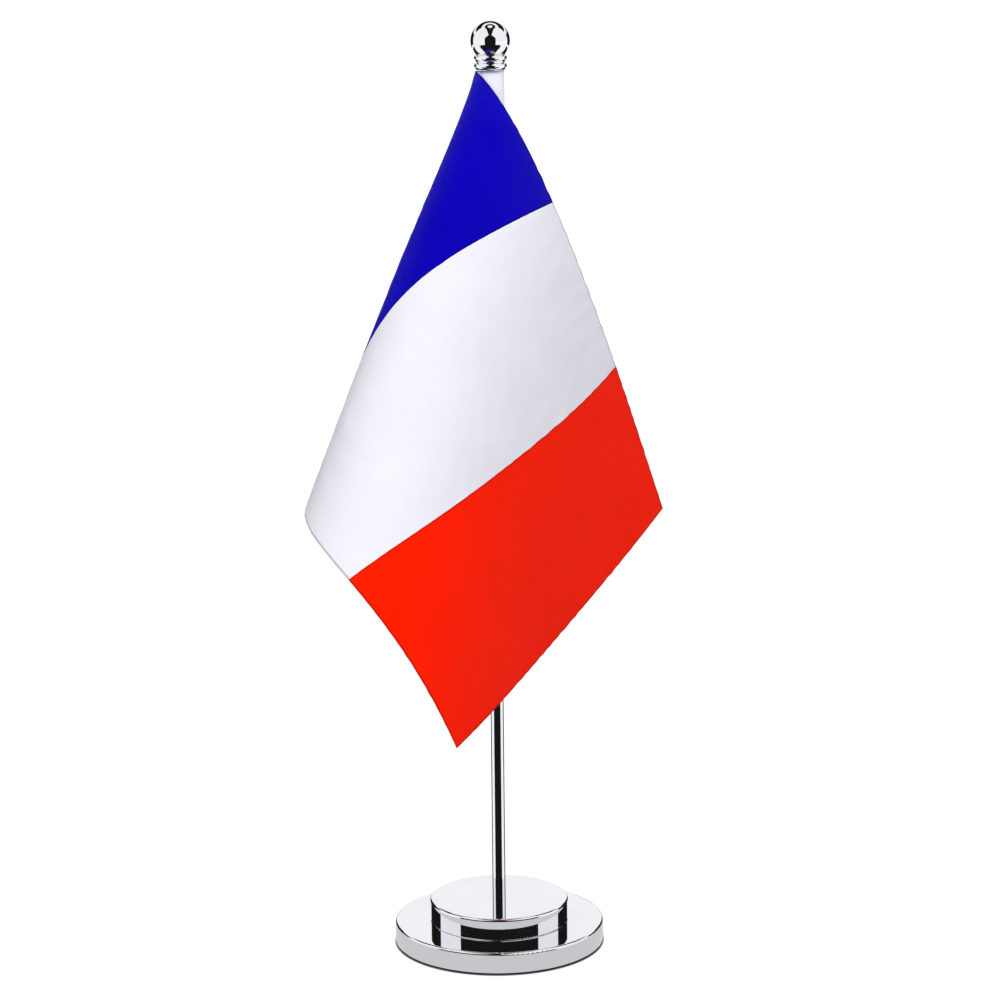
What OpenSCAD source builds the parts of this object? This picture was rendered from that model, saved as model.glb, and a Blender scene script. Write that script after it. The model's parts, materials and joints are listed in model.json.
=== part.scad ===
// Desk flag stand: a weighted two-tier round foot, a slim pole with a screw-on
// ball finial, and one tricolour flag that drapes from a white pole pocket.
// Millimetres, +Z up, origin at the centre of the foot's underside.

/* [Foot] */
// Diameter of the lower tier
lower_d = 78; // [72:1:86]
// Height of the lower tier's top above the table
lower_top = 8.3; // [7.8:0.1:10]
// Diameter of the upper tier
upper_d = 51.8; // [48:0.2:56]
// Height of the upper tier alone
upper_h = 8.2; // [7.4:0.1:10]
// Wall of the pressed steel caps
cap_wall = 0.8; // [0.5:0.1:0.8]
// Radius rolled along the caps' top edges
cap_edge_r = 0.9; // [0.8:0.1:1.2]
// Thickness of the foam pad under the foot
pad_t = 1.3; // [0.8:0.1:1.4]
// Circle of the screws that join the tiers
tier_screw_pcd = 30; // [28:1:34]
// Nominal diameter of the screws that join the tiers
tier_screw_d = 3; // [2.5:0.5:3]

/* [Pole] */
// Outer diameter of the pole
pole_d = 4.9; // [4.6:0.1:5.2]
// Wall of the pole tube
pole_wall = 0.6; // [0.5:0.05:0.6]
// Height of the pole's top above the table
pole_top = 325; // [310:0.2:340]
// Diameter of the stud that screws the pole into the foot
foot_stud_d = 3; // [2.5:0.5:3]
// How far that stud reaches down into the foot
foot_stud_len = 7; // [6.6:0.1:7.2]

/* [Finial] */
// Diameter of the ball
ball_d = 14.3; // [13:0.1:16]
// Diameter of the collar's two rings
collar_d = 11.9; // [10.8:0.1:12.4]
// Height of one ring of the collar
ring_h = 2.8; // [2.4:0.1:3.2]
// Diameter of the stud that screws the finial into the pole
finial_stud_d = 2.5; // [2:0.1:2.5]
// How far that stud reaches down into the pole
finial_stud_len = 6; // [5:0.5:8]

/* [Flag] */
// Length of the flag along the hoist
flag_hoist = 140; // [130:1:145]
// Length of the flag from hoist to fly
flag_fly = 210; // [200:1:215]
// Thickness of the cloth solids
cloth_t = 0.4; // [0.3:0.05:0.5]
// Width of the pole pocket
pocket_w = 8.7; // [8.2:0.1:9.2]
// Angle of the cloth at which the drape folds round to the front, from the hoist
fold_angle = 41.5; // [40:0.5:43]

/* [Hidden] */
$fn = 96;

// Clearance of a stud in its thread, and of a plug in its tube
thread_gap = 0.05;
// Clearance of a disc in its cap
drop_in_gap = 0.3;

// Foot, upwards from the table
skirt_z = 0.5;
// Radius rolled along the caps' lower edges
cap_foot_r = 0.35;
upper_top = lower_top + upper_h;
lower_plate_z = lower_top - cap_wall;
upper_plate_z = upper_top - cap_wall;

// Screws and split washers that join the tiers
screw_head_d = 1.9 * tier_screw_d;
screw_head_h = 0.6 * tier_screw_d;
screw_head_z = pad_t + 0.2;
washer_t = 0.7;
washer_z = screw_head_z + screw_head_h;
counterbore_top = washer_z + washer_t;
screw_top = upper_top - 2.4;
screw_hole_d = tier_screw_d + 0.4;

// Bush that takes the pole's stud
bush_d = 7;
bush_flange_d = 10;
bush_flange_h = 1.2;

// Pole
bore_d = pole_d - 2 * pole_wall;
plug_d = bore_d - 2 * thread_gap;
plug_len = 9;

// Finial: the pocket's closed end lies between the pole and the collar
pocket_end_gap = 0.05;
collar_z = pole_top + 2 * pocket_end_gap + cloth_t;
collar_top = collar_z + 2 * ring_h;
groove_d = collar_d - 1.6;
ball_r = ball_d / 2;
// The ball sits in a cup in the upper ring, and touches its rim
cup_rim_r = collar_d / 2 - 0.5;
ball_z = collar_top + sqrt(ball_r * ball_r - cup_rim_r * cup_rim_r);
cup_gap = 0.02;
finial_stud_top = ball_z - 1;

// Pole pocket: the pole stands left of its middle
pocket_depth = 6.4;
pocket_x = 0.55;
oval_sides = 40;
fin_w = 2;
sleeve_top = pole_top + pocket_end_gap + cloth_t;
sleeve_bottom = sleeve_top - flag_hoist;

// Hoist's top corner, from which the drape spreads
hoist_x = -5.3;
hoist_y = -0.4;
corner_z = sleeve_top - cloth_t;
// Size of a cell of the cloth's mesh
cell = 5;
// Way in which the cloth leaves the hoist, from the left towards the front
leave_angle = 20;
// Degrees of turn per degree of cloth at the hoist, dying away up to the fold
back_turn = 1.6;
// Turn made in the fold, how far it spreads either way, and the distance from
// the corner over which it forms
fold_turn = 192;
fold_spread = 10.4;
fold_length = 81;
// Added turn past the fold, for each degree past it: near the corner, and the
// loss of it where the fold is fully formed
front_turn = 0.11;
front_turn_loss = 0.138;
// Near the corner the cloth leaves further forwards and folds later: by how
// many degrees, and the distance over which that dies away
leave_extra = 26;
fold_extra = 20;
near_length = 67;
// How much nearer the free edge hangs than the cloth's own length, and the
// angle at which that begins
slack = 0.171;
slack_start = fold_angle - 4;
// Steps in which the cloth's turn about the corner is added up
turn_steps = 30;

// A pressed cap, open below, with its top and bottom edges rolled over
module cap(d, z0, z1) {
    r = d / 2;
    rotate_extrude()
        difference() {
            union() {
                square_from([0, z0 + cap_foot_r], [r, z1 - cap_edge_r]);
                square_from([0, z0], [r - cap_foot_r, z1 - cap_edge_r]);
                translate([r - cap_foot_r, z0 + cap_foot_r]) circle(r = cap_foot_r, $fn = 48);
                square_from([0, z0], [r - cap_edge_r, z1]);
                translate([r - cap_edge_r, z1 - cap_edge_r]) circle(r = cap_edge_r, $fn = 48);
            }
            square_from([-1, z0 - 1], [r - cap_wall, z1 - cap_wall]);
            square_from([-1, z0 - 1], [0, z1 + 1]);
        }
}

// A rectangle between two corners
module square_from(a, b) {
    translate(a) square([b[0] - a[0], b[1] - a[1]]);
}

// A round bar between two heights
module bar(d, z0, z1) {
    translate([0, 0, z0]) cylinder(d = d, h = z1 - z0);
}

// Places a child at each of the three tier screws
module at_tier_screws() {
    for (a = [0, 120, 240]) rotate(a) translate([tier_screw_pcd / 2, 0, 0]) children();
}

module foot_pad() {
    color("dimgray") bar(lower_d - 2 * cap_wall - drop_in_gap, 0, pad_t);
}

module lower_base_shell() {
    color("gainsboro")
        difference() {
            cap(lower_d, skirt_z, lower_top);
            at_tier_screws() bar(screw_hole_d, lower_plate_z - 1, lower_top + 1);
        }
}

module lower_ballast() {
    color("slategray")
        difference() {
            bar(lower_d - 2 * cap_wall - 2 * drop_in_gap, pad_t, lower_plate_z);
            at_tier_screws() {
                bar(screw_hole_d, pad_t - 1, lower_plate_z + 1);
                bar(screw_head_d + 1, pad_t - 1, counterbore_top);
            }
        }
}

module upper_base_shell() {
    color("gainsboro")
        difference() {
            cap(upper_d, lower_top, upper_top);
            bar(foot_stud_d + 0.4, upper_plate_z - 1, upper_top + 1);
        }
}

module upper_ballast() {
    color("slategray")
        difference() {
            bar(upper_d - 2 * cap_wall - 2 * drop_in_gap, lower_top, upper_plate_z);
            bar(bush_d, lower_top - 1, upper_plate_z + 1);
            bar(bush_flange_d, lower_top - 1, lower_top + bush_flange_h);
            at_tier_screws() bar(tier_screw_d, lower_top - 1, screw_top);
        }
}

module pole_bush() {
    color("goldenrod")
        difference() {
            union() {
                bar(bush_d, lower_top, upper_plate_z);
                bar(bush_flange_d, lower_top, lower_top + bush_flange_h);
            }
            bar(foot_stud_d + 2 * thread_gap, lower_top - 1, upper_plate_z + 1);
        }
}

module tier_screws() {
    slot_w = 0.8;
    slot_len = 0.6 * screw_head_d;
    color("silver")
        at_tier_screws()
            difference() {
                union() {
                    bar(screw_head_d, screw_head_z, washer_z);
                    bar(tier_screw_d, washer_z, screw_top);
                }
                for (a = [0, 90])
                    rotate(a) translate([-slot_len / 2, -slot_w / 2, screw_head_z - 1])
                        cube([slot_len, slot_w, 2.1]);
            }
}

module tier_lock_washers() {
    split_w = 0.8;
    color("silver")
        at_tier_screws()
            difference() {
                bar(screw_head_d - 0.2, washer_z, counterbore_top);
                bar(tier_screw_d + 0.2, washer_z - 1, counterbore_top + 1);
                translate([0, -split_w / 2, washer_z - 1])
                    cube([screw_head_d, split_w, washer_t + 2]);
            }
}

module pole_tube() {
    color("gainsboro")
        difference() {
            bar(pole_d, upper_top, pole_top);
            bar(bore_d, upper_top - 1, pole_top + 1);
        }
}

module pole_foot_stud() {
    color("silver") {
        bar(plug_d, upper_top, upper_top + plug_len);
        bar(foot_stud_d, upper_top - foot_stud_len, upper_top + 1);
    }
}

module pole_top_nut() {
    color("goldenrod")
        difference() {
            bar(bore_d, pole_top - plug_len, pole_top);
            bar(finial_stud_d + 2 * thread_gap, pole_top - plug_len - 1, pole_top + 1);
        }
}

module finial_stud() {
    color("silver") bar(finial_stud_d, pole_top - finial_stud_len, finial_stud_top);
}

module finial_collar() {
    ring_r = ring_h / 2;
    color("gainsboro")
        difference() {
            union() {
                bar(groove_d, collar_z, collar_top);
                for (i = [0, 1])
                    rotate_extrude()
                        translate([collar_d / 2 - ring_r, collar_z + (i + 0.5) * ring_h]) {
                            circle(r = ring_r, $fn = 48);
                            square_from([ring_r - collar_d / 2, -ring_r], [0, ring_r]);
                        }
            }
            translate([0, 0, ball_z]) sphere(r = ball_r + cup_gap);
            bar(finial_stud_d + 2 * thread_gap, collar_z - 1, collar_top + 1);
        }
}

module finial_ball() {
    color("gainsboro")
        difference() {
            translate([0, 0, ball_z]) sphere(r = ball_r);
            bar(finial_stud_d + 2 * thread_gap, ball_z - ball_r - 1, finial_stud_top + 0.3);
        }
}

// White pole pocket: an oval tube of cloth with a closed top, and the flat fin
// of its seam on the left, where the flag is sewn on
module flag_sleeve() {
    color("white")
        difference() {
            union() {
                oval_bar(0, sleeve_bottom, sleeve_top);
                translate([hoist_x + cloth_t / 2 + 0.1, hoist_y - cloth_t, sleeve_bottom])
                    cube([fin_w, 2 * cloth_t, flag_hoist]);
            }
            oval_bar(cloth_t, sleeve_bottom - 1, sleeve_top - cloth_t);
            bar(finial_stud_d + 0.4, pole_top - 1, collar_z + 1);
        }
}

// The pocket's oval section, drawn in by a wall, between two heights
module oval_bar(inset, z0, z1) {
    a = pocket_w / 2 - inset;
    b = pocket_depth / 2 - inset;
    translate([pocket_x, 0, z0])
        linear_extrude(z1 - z0)
            polygon([for (t = [0 : 360 / oval_sides : 359]) [a * cos(t), b * sin(t)]]);
}

module flag_blue() {
    color("mediumblue") cloth_band(0, 1);
}

module flag_white() {
    color("whitesmoke") cloth_band(1, 2);
}

module flag_red() {
    color("orangered") cloth_band(2, 3);
}

// One third of the flag, as a thin closed solid between two distances from the
// hoist, counted in thirds
module cloth_band(third_0, third_1) {
    across = round(flag_fly / 3 / cell);
    down = round(flag_hoist / cell);
    us = [for (i = [0 : across]) flag_fly / 3 * (third_0 + (third_1 - third_0) * i / across)];
    vs = [for (j = [0 : down]) flag_hoist * j / down];
    n = (across + 1) * (down + 1);
    function at(i, j, side) = side * n + i * (down + 1) + j;
    polyhedron(
        points = [for (side = [-0.5, 0.5]) for (u = us) for (v = vs)
                      cloth_point(u, v) + side * cloth_t * cloth_normal(u, v)],
        faces = [
            for (i = [0 : across - 1]) for (j = [0 : down - 1]) for (side = [0, 1])
                for (f = quad(at(i, j, side), at(i + 1, j, side),
                              at(i + 1, j + 1, side), at(i, j + 1, side), side == 0)) f,
            for (i = [0 : across - 1]) for (j = [0, down])
                for (f = quad(at(i, j, 0), at(i, j, 1), at(i + 1, j, 1), at(i + 1, j, 0),
                              j == 0)) f,
            for (j = [0 : down - 1]) for (i = [0, across])
                for (f = quad(at(i, j, 0), at(i, j + 1, 0), at(i, j + 1, 1), at(i, j, 1),
                              i == 0)) f
        ]);
}

// Two triangles over four corners, turned over on request
function quad(a, b, c, d, turned) =
    turned ? [[a, b, c], [a, c, d]] : [[a, c, b], [a, d, c]];

// Where the cloth's point u from the hoist and v from the top edge hangs: at
// nearly its own distance from the corner, in a direction found by a walk on
// the unit sphere, from straight down round the fold to the point's angle
function cloth_point(u, v) =
    let (
        r = norm([u, v]),
        near = exp(-r / near_length),
        leave = leave_angle + leave_extra * near,
        angle = r == 0 ? 0 : atan2(u, v)
    )
    [hoist_x, hoist_y, corner_z] + r * (1 - slack_at(angle))
        * walk(0, angle, r, fold_angle + fold_extra * near, [0, 0, -1], [-cos(leave), -sin(leave), 0]);

function walk(i, angle, r, fold, ray, heading) =
    i == turn_steps ? ray :
    let (
        a = angle * (i + 0.5) / turn_steps,
        step = angle / turn_steps / (1 - slack_at(a)),
        turn = angle / turn_steps * turn_at(a, r, fold),
        turned = cos(turn) * heading + sin(turn) * cross(heading, ray)
    )
    walk(i + 1, angle, r, fold, cos(step) * ray + sin(step) * turned,
         cos(step) * turned - sin(step) * ray);

// Turn per degree of cloth, at an angle from the hoist and a distance r
function turn_at(a, r, fold) =
    let (formed = 1 - exp(-r / fold_length))
    formed * fold_turn / (fold_spread * sqrt(2 * PI)) * exp(-pow((a - fold) / fold_spread, 2) / 2)
    + (a < fold ? back_turn * (1 - a / fold)
                : (front_turn - front_turn_loss * formed) * (a - fold));

// Share of the distance that the cloth loses, from the fold to the free edge
function slack_at(a) = slack * pow(max((a - slack_start) / (90 - slack_start), 0), 1.5);

// The cloth's normal there, by differences taken inside the cloth
function cloth_normal(u, v) =
    let (
        e = 0.5,
        x = max(u, 2),
        y = max(v, 2),
        n = cross(cloth_point(x + e, y) - cloth_point(x - e, y),
                  cloth_point(x, y + e) - cloth_point(x, y - e))
    )
    n / norm(n);

foot_pad();
lower_base_shell();
lower_ballast();
upper_base_shell();
upper_ballast();
pole_bush();
tier_screws();
tier_lock_washers();
pole_tube();
pole_foot_stud();
pole_top_nut();
finial_stud();
finial_collar();
finial_ball();
flag_sleeve();
flag_blue();
flag_white();
flag_red();
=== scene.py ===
import json
import math

import bpy
import numpy as np
from mathutils import Matrix, Vector


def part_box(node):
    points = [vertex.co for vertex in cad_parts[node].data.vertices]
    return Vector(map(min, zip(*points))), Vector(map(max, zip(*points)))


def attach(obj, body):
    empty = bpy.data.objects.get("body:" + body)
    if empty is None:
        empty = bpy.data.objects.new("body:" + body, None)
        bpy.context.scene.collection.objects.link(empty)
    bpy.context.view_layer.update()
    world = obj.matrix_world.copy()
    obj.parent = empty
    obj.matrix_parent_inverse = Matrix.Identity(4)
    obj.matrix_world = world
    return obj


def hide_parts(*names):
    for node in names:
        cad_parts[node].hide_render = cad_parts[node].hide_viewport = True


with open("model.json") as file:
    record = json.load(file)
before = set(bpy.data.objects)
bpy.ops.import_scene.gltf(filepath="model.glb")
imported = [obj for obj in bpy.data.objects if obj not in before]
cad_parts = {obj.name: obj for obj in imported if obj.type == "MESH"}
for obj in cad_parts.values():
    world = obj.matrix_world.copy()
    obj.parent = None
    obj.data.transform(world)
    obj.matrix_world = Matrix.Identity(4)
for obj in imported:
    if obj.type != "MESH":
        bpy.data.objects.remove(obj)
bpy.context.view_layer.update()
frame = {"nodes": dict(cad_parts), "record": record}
SCENE = bpy.context.scene
MM = 0.001


# ---------------------------------------------------------------- camera

CAMERA_AT = (0.00184, -1.1107, 0.4051)
CAMERA_TILT = 78.0
CAMERA_ROLL = -0.58
CAMERA_LENS = 111.67
SENSOR_WIDTH = 36
CLIP = (0.01, 50)


def make_camera():
    data = bpy.data.cameras.new("camera")
    data.lens = CAMERA_LENS
    data.sensor_width = SENSOR_WIDTH
    data.clip_start, data.clip_end = CLIP
    camera = bpy.data.objects.new("camera", data)
    SCENE.collection.objects.link(camera)
    camera.matrix_world = (
        Matrix.Translation(CAMERA_AT)
        @ Matrix.Rotation(math.radians(CAMERA_TILT), 4, "X")
        @ Matrix.Rotation(math.radians(CAMERA_ROLL), 4, "Z")
    )
    SCENE.camera = camera


# ---------------------------------------------------------------- shader helpers


class Shader:
    """A material's node tree, with short calls for its nodes."""

    def __init__(self, name):
        self.material = bpy.data.materials.new(name)
        self.material.use_nodes = True
        self.tree = self.material.node_tree
        self.bsdf = self.tree.nodes["Principled BSDF"]

    def node(self, kind, inputs=(), **settings):
        n = self.tree.nodes.new("ShaderNode" + kind)
        for key, value in settings.items():
            setattr(n, key, value)
        for key, value in dict(inputs).items():
            self.put(value, n.inputs[key])
        return n

    def put(self, value, socket):
        if isinstance(value, bpy.types.NodeSocket):
            self.tree.links.new(value, socket)
        else:
            socket.default_value = value

    def set(self, **values):
        for key, value in values.items():
            self.put(value, self.bsdf.inputs[key.replace("_", " ")])

    def math(self, operation, *values, clamp=False):
        n = self.node("Math", operation=operation, use_clamp=clamp)
        for i, value in enumerate(values):
            self.put(value, n.inputs[i])
        return n.outputs[0]

    def noise(self, coordinates, scale, detail=2.0, roughness=0.5):
        n = self.node(
            "TexNoise",
            {"Vector": coordinates, "Scale": scale, "Detail": detail, "Roughness": roughness},
        )
        return n.outputs[0]

    def ramp(self, value, low, high, to_low=0.0, to_high=1.0):
        inputs = {
            "Value": value,
            "From Min": low,
            "From Max": high,
            "To Min": to_low,
            "To Max": to_high,
        }
        n = self.node("MapRange", inputs, interpolation_type="SMOOTHSTEP")
        return n.outputs[0]

    def mix(self, factor, a, b):
        n = self.node("Mix", data_type="RGBA")
        self.put(factor, n.inputs[0])
        self.put(a, n.inputs[6])
        self.put(b, n.inputs[7])
        return n.outputs[2]

    def stretched(self, coordinates, scale):
        n = self.node("Mapping", {"Vector": coordinates, "Scale": scale})
        return n.outputs[0]

    def bump(self, height, distance):
        n = self.node("Bump", {"Height": height, "Distance": distance, "Strength": 1.0})
        self.put(n.outputs[0], self.bsdf.inputs["Normal"])


def colour(r, g, b):
    """A linear colour from 8-bit sRGB values."""

    def linear(c):
        c /= 255
        return c / 12.92 if c <= 0.04045 else ((c + 0.055) / 1.055) ** 2.4

    return (linear(r), linear(g), linear(b), 1.0)


# ---------------------------------------------------------------- metal and foam

GRAIN_SCALE = 400


def polished_steel(name, tint):
    """Mirror-plated steel: faint haze patches, hairline wipe marks and dust-soft roughness."""
    s = Shader(name)
    place = s.node("TexCoord").outputs["Object"]
    haze = s.noise(place, 60, 3, 0.6)
    wipes = s.noise(s.stretched(place, (900, 90, 900)), 1, 4, 0.7)
    specks = s.ramp(s.noise(place, 1500, 2, 0.5), 0.68, 0.74)
    roughness = s.math(
        "ADD",
        s.ramp(haze, 0.35, 0.7, 0.015, 0.045),
        s.math("ADD", s.ramp(wipes, 0.55, 0.75, 0.0, 0.03), s.math("MULTIPLY", specks, 0.05)),
    )
    tone = s.mix(s.ramp(haze, 0.3, 0.7), tint, tuple(c * 0.965 for c in tint[:3]) + (1,))
    s.set(Base_Color=tone, Metallic=1.0, Roughness=roughness)
    height = s.math("ADD", s.math("MULTIPLY", haze, 0.5), s.math("MULTIPLY", wipes, 0.05))
    s.bump(height, 2e-6)
    return s.material


def cut_metal(name, light, dark, rough_low, rough_high, turn_scale):
    """Machined or plated hardware: tool marks round the axis and patchy tone."""
    s = Shader(name)
    place = s.node("TexCoord").outputs["Object"]
    patches = s.noise(place, 220, 3, 0.6)
    grains = s.noise(place, GRAIN_SCALE, 4, 0.7)
    marks = s.node(
        "TexWave",
        {"Vector": place, "Scale": turn_scale, "Distortion": 1.5, "Detail": 2, "Detail Scale": 2},
        wave_type="BANDS",
        bands_direction="Z",
    ).outputs[0]
    s.set(
        Base_Color=s.mix(s.ramp(patches, 0.3, 0.7), light, dark),
        Metallic=1.0,
        Roughness=s.ramp(grains, 0.3, 0.7, rough_low, rough_high),
    )
    s.bump(s.math("ADD", s.math("MULTIPLY", marks, 0.6), s.math("MULTIPLY", grains, 0.4)), 2e-5)
    return s.material


def cast_iron(name):
    """Sand-cast ballast under a thin black coat, with rusty pores."""
    s = Shader(name)
    place = s.node("TexCoord").outputs["Object"]
    grain = s.noise(place, 900, 5, 0.7)
    pores = s.ramp(s.noise(place, 350, 3, 0.6), 0.6, 0.7)
    base = s.mix(s.ramp(grain, 0.3, 0.7), colour(52, 52, 55), colour(34, 34, 36))
    s.set(
        Base_Color=s.mix(pores, base, colour(70, 45, 33)),
        Metallic=0.3,
        Roughness=s.ramp(grain, 0.3, 0.7, 0.55, 0.85),
    )
    s.bump(s.math("SUBTRACT", grain, s.math("MULTIPLY", pores, 0.6)), 1.2e-4)
    return s.material


def foam(name):
    """Dark closed-cell foam with a fine skin of cells."""
    s = Shader(name)
    place = s.node("TexCoord").outputs["Object"]
    cells = s.node(
        "TexVoronoi", {"Vector": place, "Scale": 2500, "Randomness": 1.0}, feature="SMOOTH_F1"
    ).outputs[0]
    patches = s.noise(place, 90, 3, 0.6)
    s.set(
        Base_Color=s.mix(s.ramp(patches, 0.3, 0.7), colour(46, 46, 48), colour(33, 33, 35)),
        Roughness=s.ramp(cells, 0.1, 0.7, 0.95, 0.75),
    )
    s.bump(cells, 1e-4)
    return s.material


# ---------------------------------------------------------------- satin

HOIST = 140 * MM
FLY = 210 * MM
BAND = FLY / 3
WEFT_PITCH, WARP_PITCH = 0.00042, 0.00034
EDGE_LINE, EDGE_FADE = 0.0003, 0.0008
EDGE_SHADE = 0.45


def satin(name, main, shade, sheen, edges):
    """Printed polyester satin: long floats along the fly, crossed threads, slubs,
    soft sheen, and a slightly darker line along the given edges. An edge is
    (whether it is counted across the flag, its distance from that side)."""
    s = Shader(name)
    flat = s.node("Attribute", attribute_name="flat").outputs["Vector"]
    parts = s.node("SeparateXYZ", {"Vector": flat})
    u, v = parts.outputs[0], parts.outputs[1]
    weft = s.math("SINE", s.math("MULTIPLY", v, 2 * math.pi / WEFT_PITCH))
    warp = s.math("SINE", s.math("MULTIPLY", u, 2 * math.pi / WARP_PITCH))
    crossed = s.math("MULTIPLY", s.math("MULTIPLY", weft, warp), 0.3)
    weave = s.math("ADD", s.math("MULTIPLY", weft, 0.7), crossed)
    slubs = s.noise(s.stretched(flat, (60, 1500, 1)), 1, 3, 0.6)
    cloudy = s.noise(flat, 35, 3, 0.5)
    fuzz = s.noise(flat, 2600, 2, 0.5)
    tone = s.math(
        "ADD",
        s.ramp(cloudy, 0.3, 0.7, 0.0, 0.45),
        s.math("ADD", s.ramp(slubs, 0.35, 0.7, 0.0, 0.3), s.math("MULTIPLY", weft, 0.06)),
        clamp=True,
    )
    base = s.mix(tone, main, shade)
    near = None
    for across, at in edges:
        gap = s.math("ABSOLUTE", s.math("SUBTRACT", u if across else v, at))
        near = gap if near is None else s.math("MINIMUM", near, gap)
    dark = tuple(c * EDGE_SHADE for c in shade[:3]) + (1,)
    base = s.mix(s.ramp(near, EDGE_LINE, EDGE_FADE, 0.7, 0.0), base, dark)
    floats = s.ramp(slubs, 0.3, 0.7, 0.42, 0.56)
    s.set(
        Base_Color=base,
        Roughness=s.math("ADD", floats, s.math("MULTIPLY", fuzz, 0.08)),
        Sheen_Weight=0.03,
        Sheen_Roughness=0.4,
        Sheen_Tint=sheen,
        Specular_IOR_Level=0.08,
        Specular_Tint=sheen,
        Anisotropic=0.35,
    )
    rough = s.math("ADD", s.math("MULTIPLY", slubs, 1.2), s.math("MULTIPLY", fuzz, 0.5))
    s.bump(s.math("ADD", s.math("MULTIPLY", weave, 0.5), rough), 2.5e-5)
    return s.material


# ---------------------------------------------------------------- drape
#
# The flag hangs from its hoist's top corner. Its points keep their distance from
# the corner, less a slack near the top edge, and their directions follow a path
# on the unit sphere that turns sharply at the fold. Angles are in degrees.

SLEEVE_LOW, SLEEVE_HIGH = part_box("flag_sleeve")
CLOTH_T = 0.4 * MM
HOIST_X = -5.3 * MM
HOIST_Y = -0.4 * MM
CORNER_Z = SLEEVE_HIGH.z - CLOTH_T

FOLD_ANGLE = 41.5
LEAVE_ANGLE = 20
BACK_TURN = 1.6
FOLD_TURN, FOLD_SPREAD, FOLD_LENGTH = 192, 10.4, 81 * MM
FRONT_TURN, FRONT_TURN_LOSS = 0.11, 0.138
LEAVE_EXTRA, FOLD_EXTRA, NEAR_LENGTH = 26, 20, 67 * MM
SLACK, SLACK_START = 0.171, FOLD_ANGLE - 4
TURN_STEPS = 30


def slack_at(a):
    return SLACK * np.maximum((a - SLACK_START) / (90 - SLACK_START), 0) ** 1.5


def turn_at(a, r, fold):
    """Turn per degree of cloth, at an angle from the hoist and a distance r."""
    formed = 1 - np.exp(-r / FOLD_LENGTH)
    bell = np.exp(-(((a - fold) / FOLD_SPREAD) ** 2) / 2)
    sharp = formed * FOLD_TURN / (FOLD_SPREAD * math.sqrt(2 * math.pi)) * bell
    behind = BACK_TURN * (1 - a / fold)
    before = (FRONT_TURN - FRONT_TURN_LOSS * formed) * (a - fold)
    return sharp + np.where(a < fold, behind, before)


def hang(u, v):
    """Where the points at u from the hoist and v from the top edge hang: each
    direction from the corner is walked to, from straight down, round the fold."""
    r = np.hypot(u, v)
    angle = np.degrees(np.arctan2(u, v))
    near = np.exp(-r / NEAR_LENGTH)
    leave = np.radians(LEAVE_ANGLE + LEAVE_EXTRA * near)
    fold = FOLD_ANGLE + FOLD_EXTRA * near
    zero = np.zeros_like(r)
    ray = np.stack([zero, zero, zero - 1], -1)
    heading = np.stack([-np.cos(leave), -np.sin(leave), zero], -1)
    for i in range(TURN_STEPS):
        a = angle * (i + 0.5) / TURN_STEPS
        step = np.radians(angle / TURN_STEPS / (1 - slack_at(a)))[..., None]
        turn = np.radians(angle / TURN_STEPS * turn_at(a, r, fold))[..., None]
        turned = np.cos(turn) * heading + np.sin(turn) * np.cross(heading, ray)
        ray, heading = (
            np.cos(step) * ray + np.sin(step) * turned,
            np.cos(step) * turned - np.sin(step) * ray,
        )
    out = (r * (1 - slack_at(angle)))[..., None]
    return np.array([HOIST_X, HOIST_Y, CORNER_Z]) + out * ray


CELL = 2.5 * MM
TUCK = 2 * MM
TUCK_ROWS = 2


def flag_grid():
    """Flat coordinates and hung positions of the whole flag's grid, [across, down].
    Its first rows are the hoist's tuck, between the two layers of the sleeve's fin."""
    across, down = round(FLY / CELL), round(HOIST / CELL)
    us = np.concatenate([[-TUCK, -TUCK / TUCK_ROWS], np.linspace(0, FLY, across + 1)])
    vs = np.linspace(0, HOIST, down + 1)
    u, v = np.meshgrid(us, vs, indexing="ij")
    p = hang(np.maximum(u, 0), v)
    p[..., 0] += np.maximum(-u, 0)
    return u, v, p


def grid_faces(n, m, start=0):
    """The quads of a grid of n rows of m points, whose first point has index start."""
    corners = [start + i * m + j for i in range(n - 1) for j in range(m - 1)]
    return [(k, k + 1, k + m + 1, k + m) for k in corners]


SHARP = 32


def new_piece(name, points, faces, material, flat=None, smooth=True):
    """A mesh in the scene. Its edges sharper than SHARP degrees stay sharp, and flat
    holds each point's place on the uncut cloth, for the satin."""
    mesh = bpy.data.meshes.new(name)
    mesh.from_pydata([tuple(map(float, p)) for p in points], [], faces)
    mesh.validate()
    if smooth:
        mesh.shade_smooth()
        mesh.set_sharp_from_angle(angle=math.radians(SHARP))
    if flat is not None:
        attribute = mesh.attributes.new("flat", "FLOAT_VECTOR", "POINT")
        attribute.data.foreach_set("vector", np.asarray(flat, np.float32).ravel())
    mesh.materials.append(material)
    piece = bpy.data.objects.new(name, mesh)
    SCENE.collection.objects.link(piece)
    return piece


SIM_SCALE = 10
SIM_FRAMES = 24
DRAWN = 0.35


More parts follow.
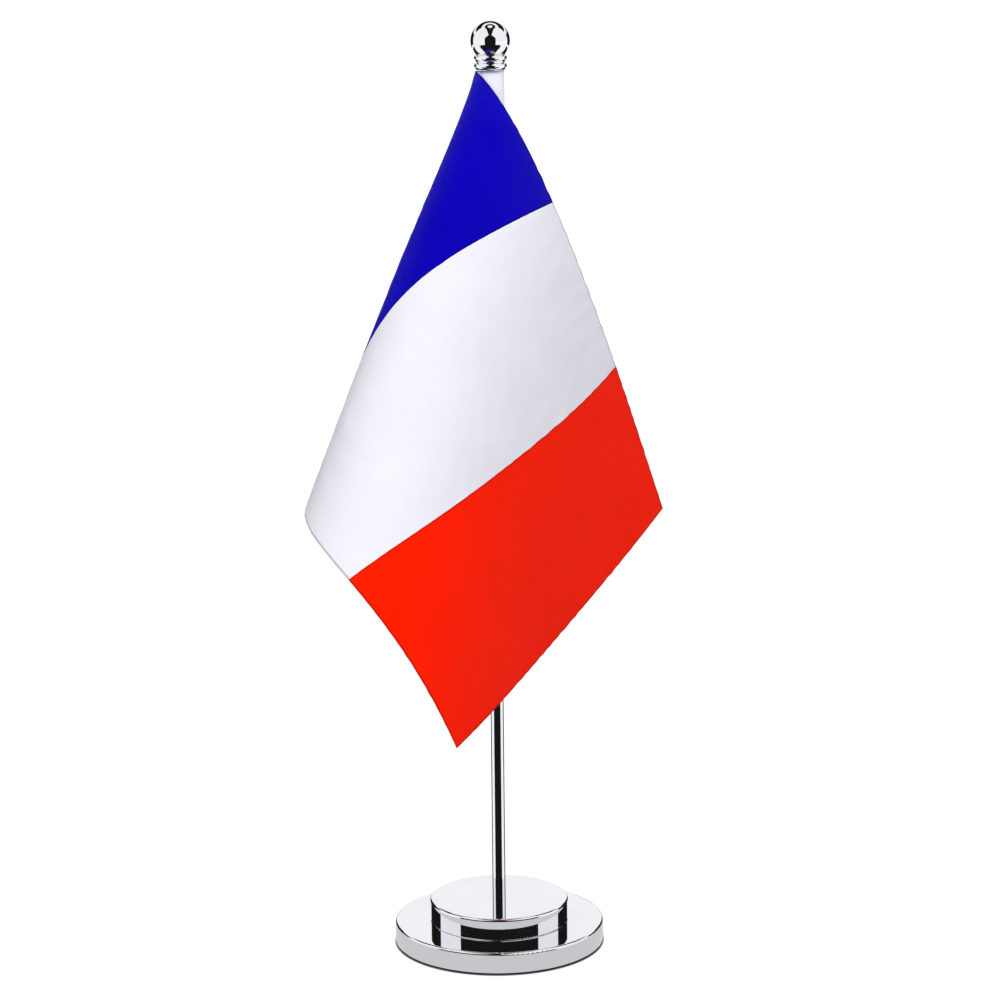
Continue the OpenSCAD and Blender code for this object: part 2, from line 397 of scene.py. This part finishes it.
def settle(u, p):
    """Lets the hung cloth settle under its own weight: the hoist is held, and the
    rest is drawn softly towards where it hangs."""
    n, m = u.shape
    mesh = bpy.data.meshes.new("settling")
    mesh.from_pydata([tuple(x) for x in p.reshape(-1, 3) * SIM_SCALE], [], grid_faces(n, m))
    cloth = bpy.data.objects.new("settling", mesh)
    SCENE.collection.objects.link(cloth)
    held = cloth.vertex_groups.new(name="held")
    weight = np.where(u <= 0, 1.0, DRAWN).ravel()
    for value in np.unique(weight):
        held.add([int(i) for i in np.nonzero(weight == value)[0]], float(value), "REPLACE")
    modifier = cloth.modifiers.new("cloth", "CLOTH")
    s = modifier.settings
    s.quality = 8
    s.mass = 0.15
    s.air_damping = 4
    s.tension_stiffness = s.compression_stiffness = 40
    s.shear_stiffness = 12
    s.bending_stiffness = 0.6
    s.tension_damping = s.compression_damping = s.shear_damping = 10
    s.bending_damping = 1
    s.vertex_group_mass = "held"
    s.pin_stiffness = 1.0
    s.shrink_min = -0.004
    modifier.collision_settings.use_collision = False
    modifier.collision_settings.use_self_collision = False
    modifier.point_cache.frame_start, modifier.point_cache.frame_end = 1, SIM_FRAMES
    for f in range(1, SIM_FRAMES + 1):
        SCENE.frame_set(f)
    done = cloth.evaluated_get(bpy.context.evaluated_depsgraph_get())
    settled = np.zeros(n * m * 3)
    done.data.vertices.foreach_get("co", settled)
    bpy.data.objects.remove(cloth)
    SCENE.frame_set(1)
    return settled.reshape(n, m, 3) / SIM_SCALE


THREAD_T = 0.26 * MM


def grid_normals(p):
    """Unit normals of the grid; the tuck's first row takes its neighbour's."""
    du = np.gradient(p, axis=0)
    dv = np.gradient(p, axis=1)
    n = np.cross(du, dv)
    length = np.linalg.norm(n, axis=-1, keepdims=True)
    n = n / np.maximum(length, 1e-12)
    n[:, 0] = n[:, 1]
    return n


def closed_sheet(name, u, v, p, normals, material):
    """A thin closed sheet: two faces and a rounded strip round the edge."""
    n, m = u.shape
    rim = (
        [(i, 0) for i in range(n)]
        + [(n - 1, j) for j in range(1, m)]
        + [(i, m - 1) for i in range(n - 2, -1, -1)]
        + [(0, j) for j in range(m - 2, 0, -1)]
    )
    points = [(p + s * THREAD_T / 2 * normals).reshape(-1, 3) for s in (-1, 1)]
    flat = np.stack([u, v, np.zeros_like(u)], -1).reshape(-1, 3)
    centre = []
    for i, j in rim:
        inwards = p[min(max(i, 1), n - 2), min(max(j, 1), m - 2)] - p[i, j]
        corner = i in (0, n - 1) and j in (0, m - 1)
        along = inwards / max(np.linalg.norm(inwards), 1e-12)
        centre.append(p[i, j] - along * THREAD_T / 2 * (1.2 if corner else 0.9))
    flat_rim = [flat[i * m + j] for i, j in rim]
    count = n * m
    faces = [(a, d, c, b) for a, b, c, d in grid_faces(n, m)] + grid_faces(n, m, count)
    base = 2 * count
    for k, (i, j) in enumerate(rim):
        i2, j2 = rim[(k + 1) % len(rim)]
        low, low2 = i * m + j, i2 * m + j2
        mid, mid2 = base + k, base + (k + 1) % len(rim)
        faces.append((low, low2, mid2, mid))
        faces.append((mid, mid2, count + low2, count + low))
    return new_piece(
        name,
        np.concatenate([*points, np.array(centre)]),
        faces,
        material,
        np.concatenate([flat, flat, np.array(flat_rim)]),
    )


def make_flag(materials):
    """The three bands, cut from one settled sheet. The blue one has the tuck too."""
    u, v, p = flag_grid()
    p = settle(u, p)
    normals = grid_normals(p)
    per_band = round(BAND / CELL)
    made = []
    for k, name in enumerate(("blue", "white", "red")):
        first = TUCK_ROWS + k * per_band if k else 0
        part = slice(first, TUCK_ROWS + (k + 1) * per_band + 1)
        material = materials[f"{name}_satin"]
        piece = closed_sheet(f"{name}_cloth", u[part], v[part], p[part], normals[part], material)
        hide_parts(f"flag_{name}")
        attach(piece, "flag")
        made.append(piece)
    return made


# ---------------------------------------------------------------- sleeve

SLEEVE_X = 0.55 * MM
SLEEVE_HALF = (4.35 * MM, 3.2 * MM)
SLEEVE_WALL = 0.3 * MM
FIN_OUT, FIN_IN = HOIST_X + 0.3 * MM, HOIST_X + 2.3 * MM
FIN_LAYER = 0.22 * MM
FIN_GAP = 0.02 * MM
SLEEVE_ROWS, SLEEVE_SIDES = 112, 96
CLOSED_TO = 0.42


def fin_layer(points, faces, flat, y0, y1, low, high):
    """One layer of the seam's fin: a thin closed strip with a rounded outer edge."""
    rows = SLEEVE_ROWS
    middle, edge = (y0 + y1) / 2, (y1 - y0) / 2
    section = [
        (FIN_IN, y0),
        (FIN_OUT + edge, y0),
        (FIN_OUT, middle),
        (FIN_OUT + edge, y1),
        (FIN_IN, y1),
    ]
    start, sides = len(points), len(section)
    for k in range(rows + 1):
        z = low + (high - low) * k / rows
        for x, y in section:
            points.append((x, y, z))
            flat.append((x, z, 0))
    for k in range(rows):
        a = start + k * sides
        for i in range(sides):
            j = (i + 1) % sides
            faces.append((a + j, a + i, a + sides + i, a + sides + j))
    faces.append(tuple(start + i for i in range(sides)))
    faces.append(tuple(start + rows * sides + sides - 1 - i for i in range(sides)))


def make_sleeve(materials):
    """The white pole pocket: an oval tube of cloth with a closed top, and the fin
    of its seam, whose two layers hold the flag's hoist between them."""
    bottom, top = SLEEVE_LOW.z, SLEEVE_HIGH.z
    around, up, hole = SLEEVE_SIDES, SLEEVE_ROWS, CLOSED_TO
    points, faces, flat = [], [], []

    def ring(z, inset, shrink=1.0):
        # Slight waves, only inwards, that fade out towards the top.
        start = len(points)
        fade = min(1, (top - z) / (6 * MM))
        for i in range(around):
            t = 2 * math.pi * i / around
            wave = 0.12 * MM * math.sin(3 * t + 90 * z) * math.sin(260 * z + t)
            wave += 0.07 * MM * math.sin(5 * t - 410 * z)
            wave = min(wave, 0) * 2 * fade
            a, b = ((half - inset + wave) * shrink for half in SLEEVE_HALF)
            points.append((SLEEVE_X + a * math.cos(t), b * math.sin(t), z))
            flat.append((a * t, z, 0))
        return start

    def levels(high):
        return [bottom + (high - bottom) * k / up for k in range(up + 1)]

    chain = [ring(z, 0) for z in levels(top - 0.5 * MM)]
    chain += [ring(top - 0.2 * MM, 0, 0.97), ring(top - 0.02 * MM, 0, 0.86), ring(top, 0, hole)]
    chain += [ring(top - SLEEVE_WALL, SLEEVE_WALL, hole), ring(top - SLEEVE_WALL, SLEEVE_WALL, 0.9)]
    chain += [ring(z, SLEEVE_WALL) for z in reversed(levels(top - 2 * SLEEVE_WALL))]
    for a, b in zip(chain, chain[1:] + chain[:1]):
        for i in range(around):
            j = (i + 1) % around
            faces.append((a + i, a + j, b + j, b + i))
    fin_low, fin_high = bottom + 0.1 * MM, top - 0.6 * MM
    for side in (-1, 1):
        gaps = (FIN_GAP, FIN_GAP + FIN_LAYER)
        near, far = (HOIST_Y + side * (THREAD_T / 2 + gap) for gap in gaps)
        fin_layer(points, faces, flat, min(near, far), max(near, far), fin_low, fin_high)
    piece = new_piece("sleeve_cloth", points, faces, materials["sleeve_cloth"], flat)
    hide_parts("flag_sleeve")
    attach(piece, "flag")
    return piece


STITCH, STITCH_GAP, STITCH_R = 2.0 * MM, 0.5 * MM, 0.11 * MM
STITCH_END = 1.5 * MM


def make_stitches(materials):
    """The row of thread stitches that closes the seam, on both of the fin's sides.
    Each stitch dives into the cloth at its ends."""
    points, faces, flat = [], [], []
    sides, bends = 8, 6
    x = (FIN_IN + FIN_OUT) / 2 - 0.3 * MM
    z = SLEEVE_LOW.z + STITCH_END
    face_y = THREAD_T / 2 + FIN_GAP + FIN_LAYER
    while z + STITCH < SLEEVE_HIGH.z - STITCH_END:
        for side in (-1, 1):
            start = len(points)
            for k in range(bends + 1):
                t = k / bends
                rise = face_y + STITCH_R * (0.75 * math.sin(math.pi * t) - 0.55)
                r = STITCH_R * (0.55 + 0.45 * math.sin(math.pi * t))
                for i in range(sides):
                    a = 2 * math.pi * i / sides * side
                    y = HOIST_Y + side * rise + r * math.sin(a)
                    points.append((x + r * math.cos(a), y, z + STITCH * t))
                    flat.append((a * r, z + STITCH * t, 0))
            for k in range(bends):
                a = start + k * sides
                for i in range(sides):
                    j = (i + 1) % sides
                    quad = (a + i, a + j, a + sides + j, a + sides + i)
                    faces.append(quad if side > 0 else quad[::-1])
            low_end = tuple(start + i for i in range(sides))
            high_end = tuple(start + bends * sides + i for i in range(sides))
            faces.append(low_end[::-1] if side > 0 else low_end)
            faces.append(high_end if side > 0 else high_end[::-1])
        z += STITCH + STITCH_GAP
    piece = new_piece("hoist_stitches", points, faces, materials["sleeve_cloth"], flat)
    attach(piece, "flag")


# ---------------------------------------------------------------- pad


def make_pad(materials):
    """The foam pad: a flat disc, its lower and upper edges a little crushed."""
    low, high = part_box("foot_pad")
    around, crush = 128, 0.3 * MM
    radius = high.x
    profile = [(0.0, low.z), (0.5 * radius, low.z)]
    for z, sign in ((low.z + crush, -1), (high.z - crush, 1)):
        turns = (90, 60, 30, 0) if sign < 0 else (0, 30, 60, 90)
        for turn in np.radians(turns):
            r = radius - crush + crush * math.cos(turn)
            profile.append((r, z + sign * crush * math.sin(turn)))
    profile += [(0.5 * radius, high.z), (0.0, high.z)]
    points = [(0, 0, profile[0][1]), (0, 0, profile[-1][1])]
    spokes = np.arange(around) * 2 * math.pi / around
    for r, z in profile[1:-1]:
        points += [(r * math.cos(t), r * math.sin(t), z) for t in spokes]
    faces = []
    last = 2 + (len(profile) - 3) * around
    for i in range(around):
        j = (i + 1) % around
        faces.append((0, 2 + j, 2 + i))
        faces.append((1, last + i, last + j))
        for k in range(2, last, around):
            faces.append((k + i, k + j, k + around + j, k + around + i))
    piece = new_piece("pad_foam_disc", points, faces, materials["pad_foam"])
    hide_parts("foot_pad")
    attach(piece, "base")


# ---------------------------------------------------------------- floor and light

FLOOR_HALF = 20
FLOOR_DROP = 0.2 * MM
FLOOR_GLOW = 0.97
FOOT_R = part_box("lower_base_shell")[1].x
DOME_R = 3.0
DOME_GLOW, DOME_RIGHT, DOME_BACK = 0.52, 0.5, 0.8


def make_floor():
    """A plain white table that glows as white as the studio, so nothing shades it,
    but for a painted contact shadow: a thin dark ring where the foot stands, where the glow is cut."""
    s = Shader("floor")
    place = s.node("TexCoord").outputs["Object"]
    cloud = s.noise(place, 3, 2, 0.5)
    reach = s.node("VectorMath", operation="LENGTH")
    s.put(place, reach.inputs[0])
    reach = reach.outputs["Value"]
    s.set(
        Base_Color=s.mix(cloud, (0.10, 0.10, 0.105, 1), (0.12, 0.12, 0.125, 1)),
        Roughness=0.8,
        Specular_IOR_Level=0.1,
        Emission_Color=(1, 1, 1, 1),
        # Painted contact shadow: the glow fades to nothing in a thin ring round the foot.
        Emission_Strength=s.ramp(reach, FOOT_R - 0.2 * MM, FOOT_R + 0.8 * MM, 0.0, FLOOR_GLOW),
    )
    h = FLOOR_HALF
    corners = [(-h, -h, 0), (h, -h, 0), (h, h, 0), (-h, h, 0)]
    floor = new_piece("floor", corners, [(0, 1, 2, 3)], s.material, smooth=False)
    floor.location.z = -FLOOR_DROP


def make_light():
    world = bpy.data.worlds.new("studio")
    SCENE.world = world
    world.use_nodes = True
    background = world.node_tree.nodes["Background"]
    background.inputs["Color"].default_value = (1, 1, 1, 1)
    background.inputs["Strength"].default_value = 1.0


def key_light(at, towards, size, power):
    """A soft square lamp that the polished metal doesn't mirror."""
    data = bpy.data.lights.new("key", "AREA")
    data.shape = "SQUARE"
    data.size = size
    data.energy = power
    lamp = bpy.data.objects.new("key", data)
    SCENE.collection.objects.link(lamp)
    lamp.location = at
    lamp.rotation_mode = "QUATERNION"
    lamp.rotation_quaternion = (Vector(towards) - Vector(at)).to_track_quat("-Z", "Y")
    lamp.visible_glossy = False


def bent(middle, rows, steps=24):
    """Points and faces of a sheet bent round the object. Each row is a radius, a
    height and a half width in degrees; the middle is counted from the front to
    the right."""
    points = []
    for radius, z, half in rows:
        for i in range(steps + 1):
            a = math.radians(middle + half * (2 * i / steps - 1))
            points.append((radius * math.sin(a), -radius * math.cos(a), z))
    faces = [
        (k, k + 1, k + steps + 2, k + steps + 1)
        for row in range(len(rows) - 1)
        for k in range(row * (steps + 1), row * (steps + 1) + steps)
    ]
    return points, faces


def card(name, middle, rows, shade=0.01):
    """A card of an even grey that only the polished metal mirrors."""
    s = Shader(name)
    s.set(Base_Color=(0, 0, 0, 1), Roughness=1.0, Specular_IOR_Level=0.0)
    s.set(Emission_Color=(1, 1, 1, 1), Emission_Strength=shade)
    piece = new_piece(name, *bent(middle, rows), s.material, smooth=False)
    piece.visible_camera = piece.visible_diffuse = piece.visible_shadow = False


def make_cards():
    """The dark room round the object, as the polished metal mirrors it: a table in
    front, a wall with a ceiling, and narrower cards at the back and the sides."""
    low, tall, side = 0.39, 1.33, 1.5
    flat = 0.5 * MM
    card("table_card", 0, [(0.071, flat, 60), (low, flat, 60)])
    # A grey ring round the foot that only the metal mirrors: painted shade of the table round the
    # foot, seen in the metal's reflection.
    card("foot_shade_card", 0, [(0.0396, 0.4 * MM, 180), (0.071, 0.4 * MM, 180)], 0.66)
    card("far_table_card", 0, [(low, flat, 32), (tall, flat, 32)])
    card("low_card", 0, [(low, -0.05, 66), (low, 0.19, 66)])
    card("tall_card", 0, [(tall, 0, 32), (tall, 0.72, 32), (tall, 1.27, 10), (0.8, 2.3, 50)])
    card("ceiling_card", 0, [(0.8, 2.3, 180), (0.4, 2.6, 180)])
    card("back_card", 180, [(side, 1.15, 70), (1.2, 2.0, 70)])
    card("back_table_card", 180, [(0.42, flat, 65), (1.0, flat, 65)])
    for name, sign in (("left", -1), ("right", 1)):
        card(f"{name}_card", sign * 137, [(side, -0.3, 22), (side, 0.8, 22)])
        card(f"{name}_table_card", sign * 137, [(0.062, flat, 22), (0.5, flat, 22)])


def make_dome():
    """Soft light from all round, weaker from the left, that only the cloth and the
    other dull surfaces see."""
    s = Shader("dome")
    place = s.node("TexCoord").outputs["Object"]
    parts = s.node("SeparateXYZ", {"Vector": place})
    rightwards = s.math("MULTIPLY", parts.outputs[0], DOME_RIGHT / DOME_R)
    behind = s.math("MAXIMUM", parts.outputs[1], 0)
    backwards = s.math("MULTIPLY", behind, DOME_BACK / DOME_R)
    strength = s.math("ADD", s.math("ADD", rightwards, backwards), DOME_GLOW)
    s.set(Base_Color=(0, 0, 0, 1), Specular_IOR_Level=0.0)
    s.set(Emission_Color=(1, 1, 1, 1), Emission_Strength=strength)
    heights = np.radians([0, 15, 30, 45, 60, 75, 89.9])
    rings = [(DOME_R * math.cos(e), DOME_R * math.sin(e), 180) for e in heights]
    table = [(DOME_R, 0.3 * MM, 180), (0.04, 0.3 * MM, 180)]
    for name, rows in (("dome", rings), ("dome_table", table)):
        piece = new_piece(name, *bent(0, rows, 48), s.material, smooth=False)
        piece.visible_camera = piece.visible_glossy = False


# ---------------------------------------------------------------- the object

# An edge this far off never shows: the sleeve's own edges are folded in.
FAR_OFF = 10.0

MATERIALS = {
    "mirror_steel": polished_steel("mirror_steel", colour(240, 240, 244)),
    "ballast_iron": cast_iron("ballast_iron"),
    "pad_foam": foam("pad_foam"),
    "thread_brass": cut_metal(
        "thread_brass", colour(214, 180, 104), colour(176, 139, 72), 0.22, 0.4, 900
    ),
    "plated_steel": cut_metal(
        "plated_steel", colour(205, 207, 212), colour(170, 172, 178), 0.25, 0.45, 700
    ),
    "blue_satin": satin(
        "blue_satin",
        (0.004, 0.0011, 0.37, 1),
        (0.0031, 0.0007, 0.325, 1),
        (0.2, 0.15, 1, 1),
        [(True, BAND), (False, 0), (False, HOIST)],
    ),
    "white_satin": satin(
        "white_satin",
        (0.70, 0.69, 0.755, 1),
        (0.655, 0.645, 0.705, 1),
        (1, 1, 1, 1),
        [(False, 0), (False, HOIST)],
    ),
    "red_satin": satin(
        "red_satin",
        (0.86, 0.012, 0.0006, 1),
        (0.80, 0.009, 0.0004, 1),
        (1, 0.2, 0.08, 1),
        [(True, 2 * BAND), (True, FLY), (False, 0), (False, HOIST)],
    ),
    "sleeve_cloth": satin(
        "sleeve_cloth",
        colour(238, 238, 248),
        colour(222, 222, 236),
        (1, 1, 1, 1),
        [(False, FAR_OFF)],
    ),
}

make_camera()
slot_of = {row["node"]: row["material_slot"] for row in frame["record"]["subparts"]}
for name, node in frame["nodes"].items():
    node.data.materials.clear()
    node.data.materials.append(MATERIALS[slot_of[name]])

sleeve = make_sleeve(MATERIALS)
make_stitches(MATERIALS)
make_pad(MATERIALS)
blue, white, red = make_flag(MATERIALS)

make_floor()
make_light()
make_cards()
make_dome()
key_light((-0.35, -1.15, 1.0), (0, 0, 0.2), 0.7, 18)

SCENE.view_settings.view_transform = "Standard"
